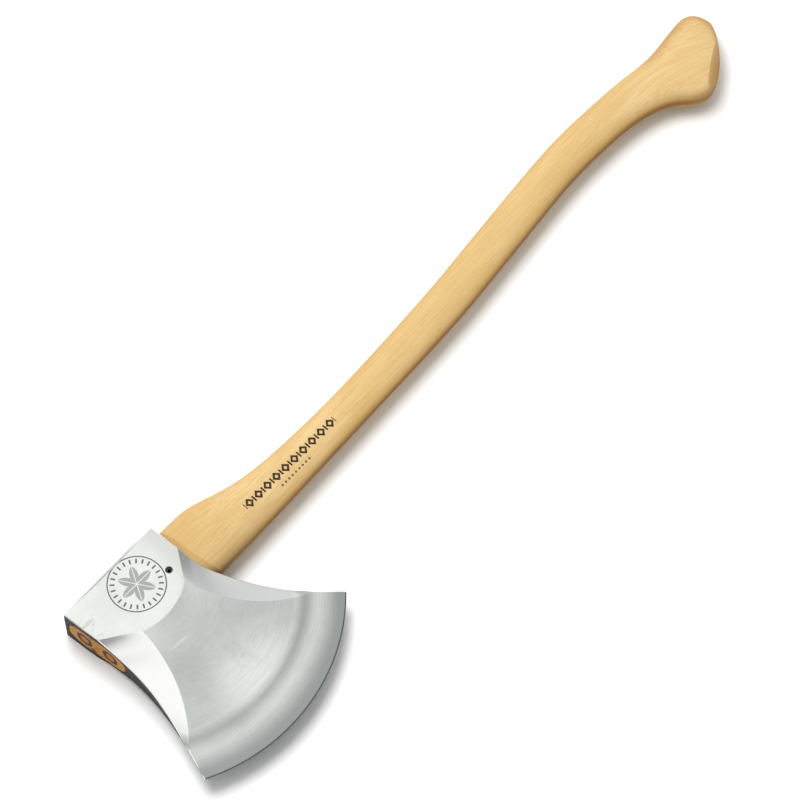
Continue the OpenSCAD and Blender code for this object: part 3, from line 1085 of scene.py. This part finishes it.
def haft_wood(name, painted_shade_share):
    """Oiled pale hardwood with fine straight grain and a burnt ornament; painted shade darkens it
    towards its back and belly, and all over by the share given.
    """
    material, n = new_material(name)
    flat_x, flat_y, _ = n.place()
    x, y, z = grain_place(n)
    depth = wood_rings(n, x, y, z)
    late = (depth * (2 * math.pi)).sin() * 0.5 + 0.5
    streaks = n.noise(x * 0.018, y * 0.9, z * 0.9, detail=4, roughness=0.62)
    pores = n.noise(x * 0.12, y * 3.4, z * 3.4, detail=2, roughness=0.6)
    cloud = n.noise(x * 0.012, y * 0.05, z * 0.05, detail=3)
    tone = n.blend(cloud.rise(0.3, 0.7), (0.65, 0.457, 0.203), (0.72, 0.533, 0.268))
    tone = n.blend(streaks.rise(0.35, 0.7) * 0.6, tone, (0.58, 0.345, 0.12))
    late = late.rise(0.3, 1.0) * streaks.rise(0.3, 0.7) * cloud.rise(0.35, 0.65)
    tone = n.blend(late * 0.18, tone, (0.58, 0.35, 0.12))
    tone = n.blend(pores.rise(0.55, 0.72) * 0.45, tone, (0.48, 0.27, 0.085))
    # Painted shade: darker and browner towards the back and the belly, where the haft turns away
    # from the light.
    tone = n.blend(z.abs().rise(13, 4) * 0.5, tone, (0.60, 0.32, 0.05))
    tone = n.blend(z.abs().rise(8, 1) * 0.9, tone, (0.28, 0.10, 0.006))
    tone = n.blend(flat_x.rise(200, 130) * 0.25, tone, (0.50, 0.29, 0.09))
    # Painted shade: the knob is darker towards its back and belly.
    painted_knob_shade = flat_x.rise(KNOB_FROM, KNOB_FULL) * z.abs().rise(13.4, 8)
    tone = n.blend(painted_knob_shade * 0.5, tone, (0.45, 0.23, 0.08))
    # Painted shade: this copy of the wood is darker, for the shoulder band and the knob's facets.
    tone = n.blend(painted_shade_share, tone, (0.42, 0.22, 0.06))
    burnt = burnt_band(flat_x, flat_y) * z.rise(4, 6)
    scorch = n.noise(x * 0.4, y * 0.8, z, detail=3)
    tone = n.blend(burnt * (0.82 + scorch * 0.25), tone, (0.010, 0.006, 0.005))
    rough, height = 0.5 + pores * 0.12, streaks * 0.4 + pores * 0.6 - burnt * 2
    surface(n, color=tone, specular=0.15, roughness=rough, normal=n.bump(height, 0.05))
    return material


def ring_distance(y, z):
    """Distance from the middle line of the nearer ring wedge."""
    u, w = y.abs() - RING_Y, (z.abs() - RING_STRETCH / 2).max(0)
    return (u * u + w * w).root()


def end_grain():
    """Tenon's sawn end: growth rings, dark pores and stains round the wedges."""
    material, n = new_material("end_grain_wood")
    x, y, z = n.place()
    depth = wood_rings(n, x, y, z)
    late = (depth * (2 * math.pi)).sin() * 0.5 + 0.5
    pores = n.noise(x, y, z, scale=2.6, detail=2)
    cloud = n.noise(x, y, z, scale=0.16, detail=3)
    tone = n.blend(late.rise(0.3, 0.9) * 0.6, (0.66, 0.315, 0.075), (0.46, 0.19, 0.04))
    tone = n.blend(pores.rise(0.55, 0.7) * 0.4, tone, (0.30, 0.13, 0.035))
    bore_r = RING_D / 2 - RING_WALL
    core = ring_distance(y, z).rise(bore_r + 0.6, bore_r)
    tone = n.blend(core * 0.8, tone, (0.52, 0.17, 0.02))
    tone = n.blend(y.within(0, 4, 5) * cloud.rise(0.3, 0.6) * 0.5, tone, (0.36, 0.13, 0.035))
    stain = y.within(5, 2.5, 4) * (z.rise(-4, -12) + z.rise(5, 13) * 0.5)
    tone = n.blend(stain * cloud.rise(0.25, 0.5) * 0.95, tone, (0.06, 0.02, 0.005))
    surface(n, color=tone, specular=0.12, roughness=0.7, normal=n.bump(pores + late * 0.5, 0.15))
    return material


def wedge_steel():
    """Blued steel with turning marks."""
    material, n = new_material("blued_wedge_steel")
    x, y, z = n.place()
    marks = n.noise(ring_distance(y, z) * 5, x * 3, z * 0.1, detail=3)
    tone = n.blend(marks, (0.022, 0.032, 0.042), (0.042, 0.055, 0.068))
    rough = 0.5 + marks * 0.15
    surface(n, color=tone, specular=0.15, roughness=rough, normal=n.bump(marks, 0.03))
    return material


def pin_steel():
    """Black oxide spring steel, worn bright on its rims."""
    material, n = new_material("black_pin_steel")
    x, y, z = n.place()
    grains = n.noise(x, y, z, scale=2.2, detail=3)
    end = HEAD_T / 2 - PIN_RECESS
    tone = n.blend(grains, (0.025, 0.025, 0.026), (0.05, 0.05, 0.05))
    worn = z.abs().rise(end - 1.2, end) * grains.rise(0.4, 0.6)
    tone = n.blend(worn * 0.5, tone, (0.35, 0.34, 0.32))
    surface(n, color=tone, metallic=0.7, roughness=0.42, normal=n.bump(grains, 0.04))
    return material


# ---- stage ----

FLOOR_SIZE = 60.0


def make_floor():
    half = FLOOR_SIZE / 2
    mesh = bpy.data.meshes.new("floor")
    corners = [(-half, -half, 0), (half, -half, 0), (half, half, 0), (-half, half, 0)]
    mesh.from_pydata(corners, [], [(0, 1, 2, 3)])
    floor = bpy.data.objects.new("floor", mesh)
    bpy.context.scene.collection.objects.link(floor)
    material, n = new_material("pale_floor")
    x, y, z = n.place()
    grain = n.noise(x, y, z, scale=0.05, detail=3)
    tone = n.blend(grain, (0.945, 0.945, 0.945), (0.96, 0.96, 0.96))
    surface(n, color=tone, roughness=0.9)
    mesh.materials.append(material)


DIM_LEVEL = 0.33
BRIGHT_LEVEL = 0.90


def make_world():
    """Studio surroundings: a broad bright ceiling, dimmer to the sides."""
    world = bpy.data.worlds.new("studio")
    bpy.context.scene.world = world
    world.use_nodes = True
    n = Nodes(world.node_tree)
    way = n.add("ShaderNodeTexCoord").outputs["Generated"]

    def facing(toward):
        node = n.add("ShaderNodeVectorMath", operation="DOT_PRODUCT")
        n.put(node.inputs[0], way)
        node.inputs[1].default_value = toward
        return Num(n, node.outputs["Value"])

    # The bright part fades towards the right, the left, the viewer and the far side
    right, ahead = facing(RIGHT), facing(AHEAD)
    bright = right.rise(0.75, 0.08) * right.rise(-0.80, -0.35)
    bright = bright * ahead.rise(-0.56, -0.20) * ahead.rise(0.95, 0.60)
    level = DIM_LEVEL + bright * BRIGHT_LEVEL
    tint = n.blend(bright, (0.98, 1.0, 0.985), (1.0, 1.0, 0.99))
    shader = n.add("ShaderNodeBackground")
    n.put(shader.inputs["Color"], tint)
    n.put(shader.inputs["Strength"], level)
    end = n.add("ShaderNodeOutputWorld")
    n.put(end.inputs["Surface"], shader.outputs["Background"])


# Parts of the light's direction to the right and ahead, as the picture sees them
KEY_RIGHT, KEY_AHEAD = -0.22, 0.20
KEY_DISTANCE = 2.6
KEY_SIZE = 1.3
KEY_POWER = 50


def make_key_light():
    """A square soft light that looks at the middle of the axe."""
    up = math.sqrt(1 - KEY_RIGHT * KEY_RIGHT - KEY_AHEAD * KEY_AHEAD)
    toward = RIGHT * KEY_RIGHT + AHEAD * KEY_AHEAD + Vector((0, 0, up))
    data = bpy.data.lights.new("key_light", "AREA")
    data.shape = "SQUARE"
    data.size = KEY_SIZE
    data.energy = KEY_POWER
    light = bpy.data.objects.new("key_light", data)
    light.location = AIM + toward * KEY_DISTANCE
    light.rotation_mode = "QUATERNION"
    light.rotation_quaternion = toward.to_track_quat("Z", "Y")
    light.visible_glossy = False
    bpy.context.scene.collection.objects.link(light)


# ---- scene ----

make_camera()
make_floor()
make_world()
make_key_light()
make_head([flat_steel(), horn_steel(), blade_steel(), rim_steel(), forged_steel()])
make_haft([haft_wood("oiled_pale_wood", 0.0), end_grain(), haft_wood("painted_shade_wood", 0.22)])
blued = wedge_steel()
make_ring_wedge("poll_side_wedge", "ring_wedge_poll", RING_Y, blued)
make_ring_wedge("bit_side_wedge", "ring_wedge_bit", -RING_Y, blued)
make_pin(pin_steel())
bpy.context.scene.view_settings.view_transform = "Standard"
